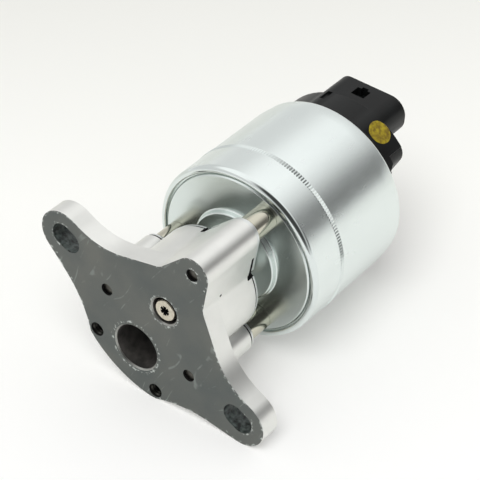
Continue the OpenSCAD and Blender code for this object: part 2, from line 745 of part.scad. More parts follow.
module connector_cap() color("#2c2e2d") {
    flange_r = can_in - 0.35;
    groove_r = can_in - stack_gap - 2 * seal_r - seal_room;
    groove_z = cap_z + cap_flange_t / 2 - seal_r - seal_room;
    groove_top = groove_z + 2 * (seal_r + seal_room);
    difference() {
        union() {
            difference() {
                rotate_extrude() polygon([
                    [cavity_r, cap_z], [flange_r, cap_z], [flange_r, groove_z], [groove_r, groove_z],
                    [groove_r, groove_top], [flange_r, groove_top], [flange_r, cap_flange_top],
                    [cap_step_r, cap_flange_top], [cap_step_r, can_top_z + cap_step_h],
                    [cap_r, can_top_z + cap_step_h], [cap_r, cap_top - cap_chamfer],
                    [cap_r - cap_chamfer, cap_top], [0, cap_top], [0, cavity_top],
                    [cavity_r, cavity_top]]);
                translate([0, 0, can_top_z + shelf_h]) linear_extrude(cap_h) low_side2d();
                rotate([90, 0, 0]) translate([-cap_flat, can_top_z, -can_r]) linear_extrude(2 * can_r)
                    polygon([[0, shelf_h], [-shelf_w, low_side_h], [-can_r, low_side_h],
                             [-can_r, cap_h + 1], [0, cap_h + 1]]);
            }
            translate([0, 0, can_top_z + 1]) rotate(shroud_turn)
                linear_extrude(shroud_h - 1) shroud2d(0);
        }
        difference() {
            translate([0, 0, socket_z]) rotate(shroud_turn) linear_extrude(socket_depth + eps)
                shroud2d(shroud_wall);
            rotate(shroud_turn)
                translate([window_shift - window_w / 2 - pocket_wall, pocket_y - pocket_wall,
                           socket_z - eps])
                cube([window_w + 2 * pocket_wall, shroud_w,
                      shroud_top - window_top + pocket_wall - socket_z + eps]);
        }
        rotate(shroud_turn) translate([window_shift, shroud_face + 1, window_z]) rotate([90, 0, 0])
            linear_extrude(shroud_face + 1 - pocket_y) window2d();
        rotate(shroud_turn) translate([relief_x, relief_y, can_top_z + relief_z])
            cylinder(h = relief_h, r = relief_r);
        pins_at() translate([0, 0, socket_z - pin_root / 2 + eps / 2])
            cube([pin_w, pin_t, pin_root + eps], center = true);
        leads_at() translate([0, 0, cap_z - eps])
            cylinder(h = socket_z - pin_root - cap_z + 2 * eps, r = lead_r + stack_gap);
    }
}

module pins_at() {
    rotate(shroud_turn) for (i = [-2:2])
        translate([shroud_shift + i * pin_pitch, shroud_mid]) children();
}

module terminals() color("gold") pins_at() translate([0, 0, socket_z - pin_root])
    translate([-pin_w / 2, -pin_t / 2]) cube([pin_w, pin_t, pin_root + pin_h]);

base_casting();
valve_seat();
pintle();
stem_bush();
stem_shield();
top_plate();
standoff_washers();
standoffs();
tie_screws();
pole_plate();
can_shell();
guide_sleeve();
bobbin();
coil_winding();
armature();
armature_nut();
gap_shim();
upper_pole();
return_spring();
coil_leads();
sensor_plunger();
plunger_spring();
wiper();
sensor_track();
cap_seal();
connector_cap();
terminals();
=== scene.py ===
import math

import bpy
from mathutils import Matrix, Vector


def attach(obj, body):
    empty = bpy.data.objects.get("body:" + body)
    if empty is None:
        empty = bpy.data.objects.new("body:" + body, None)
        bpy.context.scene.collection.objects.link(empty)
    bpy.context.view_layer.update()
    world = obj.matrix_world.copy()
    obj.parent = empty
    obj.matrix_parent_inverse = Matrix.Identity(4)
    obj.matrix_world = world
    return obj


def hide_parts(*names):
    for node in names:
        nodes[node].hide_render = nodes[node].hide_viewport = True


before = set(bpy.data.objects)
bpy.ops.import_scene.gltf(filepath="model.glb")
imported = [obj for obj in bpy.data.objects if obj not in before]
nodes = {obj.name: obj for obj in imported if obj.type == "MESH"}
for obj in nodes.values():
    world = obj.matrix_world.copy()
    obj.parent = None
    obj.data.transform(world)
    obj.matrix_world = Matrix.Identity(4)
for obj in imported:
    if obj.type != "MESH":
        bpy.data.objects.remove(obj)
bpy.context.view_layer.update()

MM = 0.001
HOUSING = "housing"
VALVE = "valve"

# Places and sizes on the valve in mm, as its solids have them
FLANGE = 7.0
TOWER_TOP = 24.3
POLE_FACE = 36.3
POLE_BACK = 39.5
CAN_FRONT = 36.2
CAN_REAR = 84.4
CAN_RADIUS = 30.75
LIP_RADIUS = 28.55
CAP_RADIUS = 27.4
TIES = ((0, 22.2), (18.4, -13.4), (-18.4, -13.4))
TAPPED = ((13.4, -31.7), (-13.4, -31.7))
SCREW_HOLE = 2.15
WASHER_RADIUS = 5.0
STANDOFF_RADIUS = 4.4
SLOT_X, SLOT_Y = 38.5, -10.5
GAS_PORT, GAS_PORT_BORE = (0, -23.3), 8.05
SMALL_PORT, SMALL_PORT_BORE = (0, 0), 4.7
TOWER_CORNER = Vector((9.8, 12.5))
FLANK_OUT = Vector((0.943, 0.333))

# The plate's top is 0.4 mm higher than its solid's, and so are the washers and the tubes' feet
SOLID_PLATE_TOP = 25.3
PLATE_TOP = 25.7
STANDOFF_FOOT = 26.6

# Points closer than this are one point, in metres, and faces within this angle are one face
TURNED_MERGE = 1e-7
SOLID_MERGE = 1e-6
FLAT_WITHIN = math.radians(0.3)


def linear(code):
    """The linear colour of an sRGB hex code."""
    parts = [int(code[i:i + 2], 16) / 255 for i in (0, 2, 4)]
    return [c / 12.92 if c <= 0.04045 else ((c + 0.055) / 1.055) ** 2.4 for c in parts] + [1.0]


def add(tree, kind, inputs=None, stops=None, **settings):
    """Adds a shader node, with its settings, its inputs set or linked, and its ramp stops."""
    made = tree.nodes.new("ShaderNode" + kind)
    for name, value in settings.items():
        setattr(made, name, value)
    for name, value in (inputs or {}).items():
        if isinstance(value, bpy.types.NodeSocket):
            tree.links.new(value, made.inputs[name])
        else:
            made.inputs[name].default_value = value
    for number, (place, colour) in enumerate(stops or ()):
        ramp = made.color_ramp
        stop = ramp.elements[number] if number < 2 else ramp.elements.new(place)
        stop.position = place
        stop.color = colour
    return made


def finish_named(name, **shader):
    """A new material with its shader's constants set, and its node tree, shader and place."""
    material = bpy.data.materials.new(name)
    material.use_nodes = True
    tree = material.node_tree
    surface = tree.nodes["Principled BSDF"]
    for socket, value in shader.items():
        surface.inputs[socket.replace("_", " ")].default_value = value
    place = add(tree, "TexCoord").outputs["Object"]
    return material, tree, surface, place


def only(piece):
    """Selects one piece and nothing else."""
    bpy.ops.object.select_all(action="DESELECT")
    piece.select_set(True)
    bpy.context.view_layer.objects.active = piece


def wear(piece, *finishes, zone=None):
    """Gives a piece its finishes, and each face the one that zone(place, direction, lowest
    and highest z) names."""
    while len(piece.data.materials) > len(finishes):
        piece.data.materials.pop()
    for number, finish in enumerate(finishes):
        if number < len(piece.data.materials):
            piece.data.materials[number] = finish
        else:
            piece.data.materials.append(finish)
    if zone:
        corners = piece.data.vertices
        for face in piece.data.polygons:
            levels = [corners[i].co.z / MM for i in face.vertices]
            face.material_index = zone(face.center / MM, face.normal, min(levels), max(levels))


def modified(piece, kind, **settings):
    """Adds a modifier with its settings and applies it."""
    only(piece)
    work = piece.modifiers.new(kind.lower(), kind)
    for name, value in settings.items():
        setattr(work, name, value)
    bpy.ops.object.modifier_apply(modifier=work.name)


def soften(piece, width, steps=2, angle=30, smooth=40):
    """Breaks the sharp edges of a piece and shades its round faces smooth, its flat ones flat."""
    if width:
        modified(piece, "BEVEL", width=width * MM, segments=steps, limit_method="ANGLE",
                 angle_limit=math.radians(angle), use_clamp_overlap=True)
    only(piece)
    bpy.ops.object.shade_smooth_by_angle(angle=math.radians(smooth))
    modified(piece, "WEIGHTED_NORMAL", keep_sharp=True, weight=100)


def shifted(piece, chosen, lift=0.0, spread=1.0):
    """Lifts the points of a piece that chosen(point) picks by so many mm, and spreads them
    from the valve's axis."""
    only(piece)
    bpy.ops.object.mode_set(mode="EDIT")
    bpy.ops.mesh.select_all(action="DESELECT")
    bpy.ops.object.mode_set(mode="OBJECT")
    for spot in piece.data.vertices:
        spot.select = chosen(spot)
    bpy.ops.object.mode_set(mode="EDIT")
    if lift:
        bpy.ops.transform.translate(value=(0, 0, lift * MM))
    if spread != 1.0:
        bpy.ops.transform.resize(value=(spread, spread, 1), center_override=(0, 0, 0))
    bpy.ops.object.mode_set(mode="OBJECT")


def turned(name, outline, steps=192, centre=(0, 0)):
    """Turns a closed outline of (radius, height) in mm about an upright axis, as on a lathe."""
    bpy.ops.object.select_all(action="DESELECT")
    radius, height = outline[0]
    middle = (centre[0] * MM, centre[1] * MM, height * MM)
    bpy.ops.mesh.primitive_circle_add(vertices=steps, radius=radius * MM, location=middle)
    piece = bpy.context.object
    piece.name = name
    bpy.ops.object.transform_apply(location=True, rotation=True, scale=True)
    bpy.ops.object.mode_set(mode="EDIT")
    bpy.ops.mesh.select_all(action="SELECT")
    for far, high in outline[1:] + outline[:1]:
        bpy.ops.mesh.extrude_region_move(
            TRANSFORM_OT_translate={"value": (0, 0, (high - height) * MM)})
        share = far / radius
        bpy.ops.transform.resize(value=(share, share, 1),
                                 center_override=(middle[0], middle[1], high * MM))
        radius, height = far, high
    bpy.ops.mesh.select_all(action="SELECT")
    bpy.ops.mesh.remove_doubles(threshold=TURNED_MERGE)
    bpy.ops.mesh.normals_make_consistent(inside=False)
    bpy.ops.object.mode_set(mode="OBJECT")
    return piece


def one_piece(name, parts):
    """Joins parts that are the same kind of thing into one named piece."""
    bpy.ops.object.select_all(action="DESELECT")
    for part in parts:
        part.select_set(True)
    bpy.context.view_layer.objects.active = parts[0]
    bpy.ops.object.join()
    parts[0].name = name
    return parts[0]


def dressed_copy(node, name):
    """A copy of a solid with its loose triangles merged and its flat faces made whole."""
    piece = nodes[node].copy()
    piece.data = nodes[node].data.copy()
    piece.parent = None
    piece.matrix_world = Matrix.Identity(4)
    for key in list(piece.keys()):
        if key.startswith("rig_"):
            del piece[key]
    bpy.context.scene.collection.objects.link(piece)
    piece.name = name
    only(piece)
    bpy.ops.object.mode_set(mode="EDIT")
    bpy.ops.mesh.select_all(action="SELECT")
    bpy.ops.mesh.remove_doubles(threshold=SOLID_MERGE)
    bpy.ops.mesh.dissolve_limited(angle_limit=FLAT_WITHIN)
    bpy.ops.object.mode_set(mode="OBJECT")
    return piece


def stands_for(piece, body, slot, *replaced):
    """Puts a finished piece on its body and hides the solids it stands for; its slot is not used.
    """
    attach(piece, body)
    if replaced:
        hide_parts(*replaced)


def arc(radius, height, size, start, end, steps):
    """Points of a rounded edge in an outline, from angle start to end in degrees."""
    turns = [math.radians(start + (end - start) * i / steps) for i in range(steps + 1)]
    return [(radius + size * math.cos(a), height + size * math.sin(a)) for a in turns]


# Materials. A pattern's scale counts its spots in a metre: 2500 makes spots of 0.4 mm

def tumbled_casting():
    """Die-cast alloy that was tumbled: a pale satin skin, clouded over some 8 mm, with a
    grain of 0.4 mm that spreads the light softly."""
    material, tree, surface, place = finish_named("tumbled_casting", Metallic=1.0)
    grain = add(tree, "TexNoise", {"Vector": place, "Scale": 2500.0, "Detail": 3.0})
    cloud = add(tree, "TexNoise", {"Vector": place, "Scale": 120.0, "Detail": 4.0})
    tone = add(tree, "Mix", {"Factor": cloud.outputs["Fac"], 6: linear("DEDFDB"),
                             7: linear("F0F0EC")}, data_type="RGBA")
    tree.links.new(tone.outputs[2], surface.inputs["Base Color"])
    rough = add(tree, "MapRange", {"Value": grain.outputs["Fac"], "To Min": 0.28,
                                   "To Max": 0.44})
    tree.links.new(rough.outputs["Result"], surface.inputs["Roughness"])
    bump = add(tree, "Bump", {"Height": grain.outputs["Fac"], "Strength": 0.1,
                              "Distance": 0.0001})
    tree.links.new(bump.outputs["Normal"], surface.inputs["Normal"])
    return material


# Rims of the mounting face in mm: centre and radius on the half where x is positive, and
# the least x and y from which the rim counts, ALL being no limit
ALL = -99
RIMS = (((37, 23.1), 25.2, 0, ALL), ((47.7, -62.6), 43.2, 0, ALL), ((39.9, SLOT_Y), 8.4, 38, ALL),
        (TIES[0], 5.8, 0, 21), (SMALL_PORT, 5.5, 0, ALL), (GAS_PORT, 9.3, 0, ALL),
        (TIES[0], 2.4, 0, ALL), ((39.9, SLOT_Y), 4.4, 39, ALL), ((14, 16.7), 5.3, 0, 12))
RIM_REACH = 1.3
# The noise level above which the coat is chipped: far from the rims, and on a rim
CHIP_FLAT, CHIP_RIM = 0.7, 0.505
CHIP_EDGE = 25.0
# Half the width of a scratch in the noise's own levels, full and where it fades out
SCRATCH_CORE, SCRATCH_FADE = 0.004, 0.009
SCRATCH_STRENGTH = 0.5


def sealing_coat():
    """Baked grey sealing coat on the mounting face: flat and dark, with hair scratches about
    0.2 mm wide and pale chips of 1.5 mm and less that crowd along its edges."""
    material, tree, surface, place = finish_named("baked_sealing_coat", IOR=1.5)
    cloud = add(tree, "TexNoise", {"Vector": place, "Scale": 50.0, "Detail": 5.0})
    skin = add(tree, "TexNoise", {"Vector": place, "Scale": 2000.0, "Detail": 2.0})
    clear = add(tree, "MapRange", {"Value": cloud.outputs["Fac"], "From Min": 0.3,
                                   "From Max": 0.7})
    coat = add(tree, "Mix", {"Factor": clear.outputs["Result"], 6: linear("484F4D"),
                             7: linear("5E605A")}, data_type="RGBA")
    # Chips stand thick within RIM_REACH of the rims, and are rare on the flat
    mirrored = add(tree, "VectorMath", {0: place}, operation="ABSOLUTE").outputs["Vector"]
    across = add(tree, "SeparateXYZ", {"Vector": mirrored}).outputs["X"]
    point = add(tree, "SeparateXYZ", {"Vector": place})
    flat_place = add(tree, "CombineXYZ", {"X": across, "Y": point.outputs["Y"]})
    nearest = None
    for centre, radius, least_x, least_y in RIMS:
        middle = add(tree, "CombineXYZ", {"X": centre[0] * MM, "Y": centre[1] * MM})
        reach = add(tree, "VectorMath", {0: flat_place.outputs[0], 1: middle.outputs[0]},
                    operation="DISTANCE")
        off = add(tree, "Math", {0: reach.outputs["Value"], 1: radius * MM},
                  operation="SUBTRACT")
        close = add(tree, "MapRange", {
            "Value": add(tree, "Math", {0: off.outputs[0]}, operation="ABSOLUTE").outputs[0],
            "From Max": RIM_REACH * MM, "To Min": 1.0, "To Max": 0.0})
        for value, least in ((across, least_x), (point.outputs["Y"], least_y)):
            gate = add(tree, "Math", {0: value, 1: least * MM}, operation="GREATER_THAN")
            close = add(tree, "Math", {0: close.outputs[0], 1: gate.outputs[0]},
                        operation="MULTIPLY")
        nearest = close if nearest is None else add(
            tree, "Math", {0: nearest.outputs[0], 1: close.outputs[0]}, operation="MAXIMUM")
    limit = add(tree, "MapRange", {"Value": nearest.outputs[0], "To Min": CHIP_FLAT,
                                   "To Max": CHIP_RIM})
    specks = add(tree, "TexNoise", {"Vector": place, "Scale": 650.0, "Detail": 6.0,
                                    "Roughness": 0.7})
    over = add(tree, "Math", {0: specks.outputs["Fac"], 1: limit.outputs["Result"]},
               operation="SUBTRACT")
    chip = add(tree, "Math", {0: over.outputs[0], 1: CHIP_EDGE}, operation="MULTIPLY",
               use_clamp=True)
    # Scratches are the level lines of a stretched noise, broken off by a second one
    stretched = add(tree, "Mapping", {"Vector": place, "Rotation": (0, 0, 0.5),
                                      "Scale": (1, 0.2, 1)})
    waves = add(tree, "TexNoise", {"Vector": stretched.outputs["Vector"], "Scale": 110.0,
                                   "Detail": 1.0})
    level = add(tree, "Math", {0: waves.outputs["Fac"], 1: 0.5}, operation="SUBTRACT")
    near = add(tree, "Math", {0: level.outputs[0]}, operation="ABSOLUTE")
    line = add(tree, "MapRange", {"Value": near.outputs[0], "From Min": SCRATCH_CORE,
                                  "From Max": SCRATCH_FADE, "To Min": 1.0, "To Max": 0.0})
    parts = add(tree, "TexNoise", {"Vector": place, "Scale": 190.0, "Detail": 2.0})
    kept = add(tree, "MapRange", {"Value": parts.outputs["Fac"], "From Min": 0.5,
                                  "From Max": 0.62, "To Max": SCRATCH_STRENGTH})
    scratch = add(tree, "Math", {0: line.outputs["Result"], 1: kept.outputs["Result"]},
                  operation="MULTIPLY")
    scored = add(tree, "Mix", {"Factor": scratch.outputs[0], 6: coat.outputs[2],
                               7: linear("858C88")}, data_type="RGBA")
    chipped = add(tree, "Mix", {"Factor": chip.outputs[0], 6: scored.outputs[2],
                                7: linear("B6BBB6")}, data_type="RGBA")
    tree.links.new(chipped.outputs[2], surface.inputs["Base Color"])
    rough = add(tree, "MapRange", {"Value": skin.outputs["Fac"], "To Min": 0.42,
                                   "To Max": 0.58})
    tree.links.new(rough.outputs["Result"], surface.inputs["Roughness"])
    bump = add(tree, "Bump", {"Height": skin.outputs["Fac"], "Strength": 0.1,
                              "Distance": 0.0001})
    tree.links.new(bump.outputs["Normal"], surface.inputs["Normal"])
    return material


def metal(name, dark, light, rough, mottle=60.0, grain=2200.0, bump=0.04, drawn=(1, 1, 1)):
    """A bare or plated metal: cloudy tone, fine grain, and its own gloss."""
    material, tree, surface, place = finish_named(name, Metallic=1.0)
    spread = add(tree, "Mapping", {"Vector": place, "Scale": drawn}).outputs["Vector"]
    cloud = add(tree, "TexNoise", {"Vector": spread, "Scale": mottle, "Detail": 4.0})
    fine = add(tree, "TexNoise", {"Vector": spread, "Scale": grain, "Detail": 2.0})
    tone = add(tree, "Mix", {"Factor": cloud.outputs["Fac"], 6: linear(dark), 7: linear(light)},
               data_type="RGBA")
    tree.links.new(tone.outputs[2], surface.inputs["Base Color"])
    gloss = add(tree, "MapRange", {"Value": fine.outputs["Fac"], "To Min": rough * 0.85,
                                   "To Max": rough * 1.2})
    tree.links.new(gloss.outputs["Result"], surface.inputs["Roughness"])
    height = add(tree, "Bump", {"Height": fine.outputs["Fac"], "Strength": bump,
                                "Distance": 0.00005})
    tree.links.new(height.outputs["Normal"], surface.inputs["Normal"])
    return material


def moulded(name, dark, light, rough, grain=1800.0, bump=0.1, mottle=70.0, **shader):
    """A moulded, painted or pressed skin without metal: even colour, fine grain, soft sheen."""
    material, tree, surface, place = finish_named(name, **shader)
    cloud = add(tree, "TexNoise", {"Vector": place, "Scale": mottle, "Detail": 4.0})
    skin = add(tree, "TexNoise", {"Vector": place, "Scale": grain, "Detail": 3.0})
    clear = add(tree, "MapRange", {"Value": cloud.outputs["Fac"], "From Min": 0.35,
                                   "From Max": 0.65})
    tone = add(tree, "Mix", {"Factor": clear.outputs["Result"], 6: linear(dark),
                             7: linear(light)}, data_type="RGBA")
    tree.links.new(tone.outputs[2], surface.inputs["Base Color"])
    gloss = add(tree, "MapRange", {"Value": skin.outputs["Fac"], "To Min": rough * 0.85,
                                   "To Max": rough * 1.15})
    tree.links.new(gloss.outputs["Result"], surface.inputs["Roughness"])
    height = add(tree, "Bump", {"Height": skin.outputs["Fac"], "Strength": bump,
                                "Distance": 0.0001})
    tree.links.new(height.outputs["Normal"], surface.inputs["Normal"])
    return material


casting_alloy = tumbled_casting()
face_coat = sealing_coat()
# Coat that ran into the slots: green grey, rubbed in patches of 1.2 mm, darker as painted shade
slot_coat_and_shade = moulded("rubbed_slot_coat_and_shade", "161A19", "565F5C", 0.4, mottle=800.0, IOR=1.5)
# Burnt oil and soot in the ports: nearly black, brown and dull
port_soot = moulded("port_soot", "2B2A28", "4A4744", 0.7, grain=900.0, bump=0.3, mottle=250.0)
# Painted shade for joints, holes, the punch mark and the tip's star: black and dull
painted_recess_shade = moulded("painted_recess_shade", "0A0A0A", "171615", 0.85, mottle=400.0)
# Alloy cut by the tap, dark grey as painted shade of the holes: satin, mottled over 2 mm
cut_thread = metal("cut_thread_painted_dark", "33332F", "5C5C57", 0.35, mottle=500.0)
# Alloy cut by the chamfer tool and stained since: mid grey to pale, uneven over 2 mm
port_edge = metal("stained_chamfer", "7C7D78", "C4C5C0", 0.4, mottle=500.0)
# Bluish bright zinc plate over drawn steel: a soft mirror with a faint 2 mm orange peel
can_zinc = metal("blue_bright_zinc", "DCE4E2", "EEF4F2", 0.25, mottle=45.0, grain=500.0,
                 bump=0.006, drawn=(1, 1, 0.35))
# The same plate where rollers burnished the can's edges and its band: much smoother
rolled_zinc = metal("burnished_zinc", "D5DDDB", "E8EEEC", 0.12, mottle=45.0, bump=0.01)
# Bright zinc plate over turned steel: as soft a mirror as the can's, without its peel
pole_zinc = metal("polished_zinc_plate", "D4DDDA", "E6EDEA", 0.25, mottle=50.0, bump=0.01)
# Polished nickel plate: a warm mirror
standoff_nickel = metal("polished_nickel", "BFBCAC", "CFCCBD", 0.12, mottle=80.0, bump=0.01)
# Plated sheet steel, stamped: satin and pale
plated_sheet = metal("plated_sheet_steel", "D8DBD9", "E8EAE8", 0.34)
# Stainless steel that gas has stained in patches of 1 mm: warm, satin
tip_steel = metal("stained_stainless", "A39A88", "E6E0D0", 0.3, mottle=900.0, grain=1500.0)
# Stainless steel, turned: fine rings and a warm tone
turned_steel = metal("turned_stainless", "BFBBAB", "DAD7CA", 0.22, drawn=(1, 1, 6))
# Turned steel that hot gas has blackened: dark and dull
sooted_steel = metal("sooted_steel", "1E1C1A", "3A3632", 0.55)
# Sintered bronze that holds oil: open grain and a dull gloss
bush_bronze = metal("sintered_bronze", "8C7048", "A68A5C", 0.42, grain=1500.0, bump=0.15)
# Black oxide screw steel: dark and satin
screw_steel = metal("oxide_screw_steel", "1D1C1A", "35332F", 0.45)
# Zinc plated screw steel, dulled: grey with dark patches of 1.4 mm
tie_steel = metal("dulled_zinc_screw", "2B2A27", "74726B", 0.35, mottle=700.0)
# Drawn spring wire: smooth, bright and cool grey
spring_steel = metal("drawn_spring_wire", "A9ABAC", "C4C6C6", 0.2)
# Enamelled copper wire: red brown under clear varnish
copper_wire = metal("enamelled_copper", "8A4A26", "B0663A", 0.3, mottle=300.0)
# Tinned brass contacts: pale yellow and smooth
contact_brass = metal("tinned_brass", "C7B27A", "DDCF9F", 0.18)
# Glass-filled black nylon: nearly black, with a low sheen and a moulded grain
cap_nylon = moulded("black_glass_nylon", "0A0B0B", "121414", 0.36, grain=1600.0, IOR=1.5,
                    Specular_IOR_Level=0.22)
# Natural nylon: milky and slightly yellow
bobbin_nylon = moulded("natural_nylon", "CFC9B4", "DDD8C6", 0.45, IOR=1.53)
# Ceramic board with a dark green glaze
track_board = moulded("glazed_ceramic_board", "25402D", "2F5238", 0.25, IOR=1.5)
# Moulded nitrile rubber: black and dull
seal_rubber = moulded("nitrile_rubber", "1A1A1A", "242424", 0.7, IOR=1.52)
# Inspector's paint, dabbed on: mustard yellow, thick and blotched over 1.5 mm
dot_paint = moulded("yellow_inspection_paint", "6F5A14", "A5931B", 0.5, grain=1100.0,
                    bump=0.5, mottle=650.0, IOR=1.5, Specular_IOR_Level=0.3)

# Solids that show as they are, each with its finish
CARRIED = {
    "valve_seat": sooted_steel,
    "stem_bush": bush_bronze,
    "guide_sleeve": bush_bronze,
    "bobbin": bobbin_nylon,
    "coil_winding": copper_wire,
    "armature": turned_steel,
    "armature_nut": screw_steel,
    "gap_shim": bush_bronze,
    "upper_pole": pole_zinc,
    "return_spring": spring_steel,
    "coil_leads": copper_wire,
    "sensor_plunger": cap_nylon,
    "plunger_spring": spring_steel,
    "wiper": contact_brass,
    "sensor_track": track_board,
    "cap_seal": seal_rubber,
}
for node_name, finish in CARRIED.items():
    wear(nodes[node_name], finish)


# The casting, with its coated face, its slots, its sooted ports and its bare walls, and painted
# shade in its holes, its punch mark and the wedge gaps under the plate
BARE, COATED, SLOT, SOOT, PAINTED_SHADE, CUT = range(6)
FACE_TURN = -0.8
FACE_LEVEL = 0.6
SLOT_HALF_X, SLOT_HALF_Y = 5.8, 4.4
HOLE_REACH = 2.9
PORT_REACH, PORT_TOP = 0.6, 16.5
CHAMFER_TOP = 0.7
CHAMBER_RADIUS, CHAMBER_FOOT, CHAMBER_TOP = 8.4, 2, 17.6
PUNCH_MARK = Vector((-9.03, 14.63, 8.6))
MARK_REACH, MARK_HEIGHT = 0.56, 1.3
NOTCH_FLOOR = 22.3
NOTCH_REACH = 1.1
GAP_DEPTH, GAP_SKIN = -3, -0.2
GAP_START, GAP_END = -0.5, 8.5


def casting_zone(place, facing, low, high):
    """Which finish a face of the casting has; hole walls, punch mark and wedge gaps get painted
    shade.
    """
    level = place.xy
    if place.z < FACE_LEVEL and facing.z < FACE_TURN:
        return COATED
    # Slot walls: the coat, darkened with painted shade
    if (place.z < FLANGE and abs(facing.z) < -FACE_TURN
            and abs(abs(level.x) - SLOT_X) < SLOT_HALF_X
            and abs(level.y - SLOT_Y) < SLOT_HALF_Y):
        return SLOT
    # Walls of the tie and tapped holes: painted shade
    for hole in TIES + TAPPED:
        if (level - Vector(hole)).length < HOLE_REACH and place.z < TOWER_TOP - 0.5:
            return PAINTED_SHADE
    for port, bore in ((GAS_PORT, GAS_PORT_BORE), (SMALL_PORT, SMALL_PORT_BORE)):
        if (level - Vector(port)).length < bore + PORT_REACH and place.z < PORT_TOP:
            return CUT if place.z < CHAMFER_TOP else SOOT
    if level.length < CHAMBER_RADIUS and CHAMBER_FOOT < place.z < CHAMBER_TOP:
        return SOOT
    # The punch mark's dimple: painted shade
    if (place - PUNCH_MARK).length < MARK_REACH and high - low < MARK_HEIGHT:
        return PAINTED_SHADE
    corner = Vector((abs(level.x), level.y)) - TOWER_CORNER
    sunk = corner.dot(FLANK_OUT)
    along = corner.dot(Vector((-FLANK_OUT.y, FLANK_OUT.x)))
    in_gap = GAP_DEPTH < sunk < GAP_SKIN and GAP_START < along < GAP_END
    # The notch and the wedge gaps under the plate: painted shade
    if NOTCH_FLOOR - 0.2 < low and place.z < TOWER_TOP - 0.05:
        if in_gap or corner.length < NOTCH_REACH:
            return PAINTED_SHADE
    return BARE


casting = dressed_copy("base_casting", "casting")
# The wedge gaps under the plate are cut taller along the lobe's flanks. The cutter stands out
# of the flank and over the tower
WEDGE_LENGTH, WEDGE_DEPTH, WEDGE_FLOOR = 7.7, 1.6, 22.9
CUTTER_OUT, CUTTER_HEIGHT = 1.0, 2.0
for hand in (1, -1):
    flank_out = Vector((hand * FLANK_OUT.x, FLANK_OUT.y))
    run = Vector((-hand * FLANK_OUT.y, FLANK_OUT.x))
    middle = (Vector((hand * TOWER_CORNER.x, TOWER_CORNER.y)) + run * WEDGE_LENGTH / 2
              - flank_out * (WEDGE_DEPTH - CUTTER_OUT) / 2)
    bpy.ops.object.select_all(action="DESELECT")
    bpy.ops.mesh.primitive_cube_add(
        size=1,
        location=(middle.x * MM, middle.y * MM, (WEDGE_FLOOR + CUTTER_HEIGHT / 2) * MM),
        rotation=(0, 0, math.atan2(run.y, run.x)),
        scale=(WEDGE_LENGTH * MM, (WEDGE_DEPTH + CUTTER_OUT) * MM, CUTTER_HEIGHT * MM))
    cutter = bpy.context.object
    bpy.ops.object.transform_apply(location=True, rotation=True, scale=True)
    modified(casting, "BOOLEAN", operation="DIFFERENCE", object=cutter, solver="EXACT")
    bpy.data.objects.remove(cutter)
soften(casting, 0.22, smooth=22)
wear(casting, casting_alloy, face_coat, slot_coat_and_shade, port_soot, painted_recess_shade, port_edge,
     zone=casting_zone)
stands_for(casting, HOUSING, "cast_metal", "base_casting")

# Cut threads in the two tapped holes, 1 mm apart, darkened with painted shade
PITCH = 1.0
THREAD_FOOT, THREAD_TURNS = 0.8, 5
ROOT, CREST, BURIED = 2.55, 2.2, 2.75
THREAD_TOP = THREAD_FOOT + THREAD_TURNS * PITCH
profile = [(BURIED, THREAD_FOOT)]
for turn_number in range(THREAD_TURNS):
    profile += [(ROOT, THREAD_FOOT + turn_number * PITCH),
                (CREST, THREAD_FOOT + (turn_number + 0.5) * PITCH)]
profile += [(ROOT, THREAD_TOP), (BURIED, THREAD_TOP)]
threads = one_piece("cut_threads", [turned("cut_thread", profile, 48, hole) for hole in TAPPED])
soften(threads, 0, smooth=25)
wear(threads, cut_thread)
stands_for(threads, HOUSING, "cast_metal")

# The stack on the tower: plate, stem shield, washers and tubes. The plate's rim stands off
# the tower and, less, off the lobe, and the joint is painted shade
RIM_GAP = 0.75
LOBE_GAP = 0.2
RIM_WIDTH = 0.8
BORE_REACH = 12
PLATE_NOTCH_REACH = 1.15


def plate_zone(place, facing, low, high):
    """The plate's underside and the walls of its notches are painted shade."""
    corner = Vector((abs(place.x), place.y)) - TOWER_CORNER
    if corner.length < PLATE_NOTCH_REACH and low < PLATE_TOP - 0.2:
        return 1
    return int(high < TOWER_TOP + RIM_GAP + 0.05)


plate = dressed_copy("top_plate", "seal_plate")
only(plate)
bpy.ops.object.mode_set(mode="EDIT")
bpy.ops.mesh.select_all(action="DESELECT")
bpy.ops.object.mode_set(mode="OBJECT")
for face in plate.data.polygons:
    face.select = face.normal.z < -0.9
bpy.ops.object.mode_set(mode="EDIT")
bpy.ops.mesh.inset(thickness=RIM_WIDTH * MM, use_boundary=True)
bpy.ops.object.mode_set(mode="OBJECT")
joined = {i for face in plate.data.polygons if face.select for i in face.vertices}
waist = (TOWER_TOP + SOLID_PLATE_TOP) / 2 * MM
rim = {spot.index for spot in plate.data.vertices
       if spot.co.z < waist and spot.co.xy.length > BORE_REACH * MM} - joined
front = TOWER_CORNER.y * MM
shifted(plate, lambda spot: spot.co.z > waist, lift=PLATE_TOP - SOLID_PLATE_TOP)
shifted(plate, lambda spot: spot.index in rim and spot.co.y < front, lift=RIM_GAP)
shifted(plate, lambda spot: spot.index in rim and spot.co.y >= front, lift=LOBE_GAP)
soften(plate, 0.12)
# The plate's underside and notch walls take painted shade
wear(plate, plated_sheet, painted_recess_shade, zone=plate_zone)
stands_for(plate, HOUSING, "plated_sheet", "top_plate")

